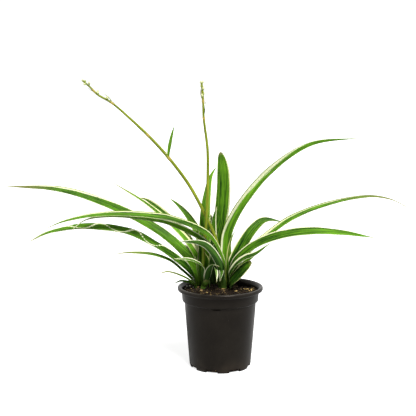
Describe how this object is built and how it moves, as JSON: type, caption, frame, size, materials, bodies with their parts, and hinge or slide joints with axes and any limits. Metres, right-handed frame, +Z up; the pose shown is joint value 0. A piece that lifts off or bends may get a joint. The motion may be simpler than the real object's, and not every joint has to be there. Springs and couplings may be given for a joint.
{
  "type": "potted spider plant",
  "caption": "Spider plant with arching striped strap leaves and flower stalks in a round black nursery pot; stands on its flat base",
  "frame": {"origin": "centre of the underside of the pot's base, on the floor", "axes": "+Z up; +X to the right as the picture shows the plant; +Y to the back, away from the camera"},
  "size_m": [0.5262, 0.2257, 0.3616],
  "materials": {
    "pot_plastic": "satin",
    "potting_mix": "matte",
    "crown_tissue": "satin",
    "leaf_blade": "satin",
    "stalk_tissue": "satin"
  },
  "bodies": {
    "root": {"pot": "pot_plastic", "soil": "potting_mix", "crown_left": "crown_tissue", "crown_right": "crown_tissue", "crown_back": "crown_tissue", "leaf_left_long": "leaf_blade", "leaf_left_upper": "leaf_blade", "leaf_left_behind": "leaf_blade", "leaf_left_broad": "leaf_blade", "leaf_upright_left": "leaf_blade", "leaf_left_curled": "leaf_blade", "leaf_left_thin": "leaf_blade", "leaf_left_short": "leaf_blade", "leaf_left_over_rim": "leaf_blade", "leaf_front_low": "leaf_blade", "leaf_front_dark": "leaf_blade", "leaf_middle_small": "leaf_blade", "leaf_front_stub": "leaf_blade", "leaf_left_arched": "leaf_blade", "leaf_left_dark": "leaf_blade", "leaf_front_left": "leaf_blade", "leaf_front_drooping": "leaf_blade", "leaf_front_looped": "leaf_blade", "leaf_right_tall": "leaf_blade", "leaf_right_narrow": "leaf_blade", "leaf_right_broad": "leaf_blade", "leaf_right_long": "leaf_blade", "leaf_right_wide": "leaf_blade", "leaf_right_lower": "leaf_blade", "leaf_right_thin": "leaf_blade", "leaf_right_blunt": "leaf_blade", "leaf_upright_short": "leaf_blade", "leaf_upright_right": "leaf_blade", "leaf_middle_left": "leaf_blade", "leaf_middle_right": "leaf_blade", "leaf_middle_short": "leaf_blade", "leaf_back_tall": "leaf_blade", "leaf_back_middle": "leaf_blade", "leaf_back_left": "leaf_blade", "leaf_back_right": "leaf_blade", "leaf_back_left_low": "leaf_blade", "leaf_back_right_low": "leaf_blade", "leaf_back_drooping": "leaf_blade", "flower_stalk_left": "stalk_tissue", "flower_stalk_upright": "stalk_tissue"}
  },
  "joints": []
}
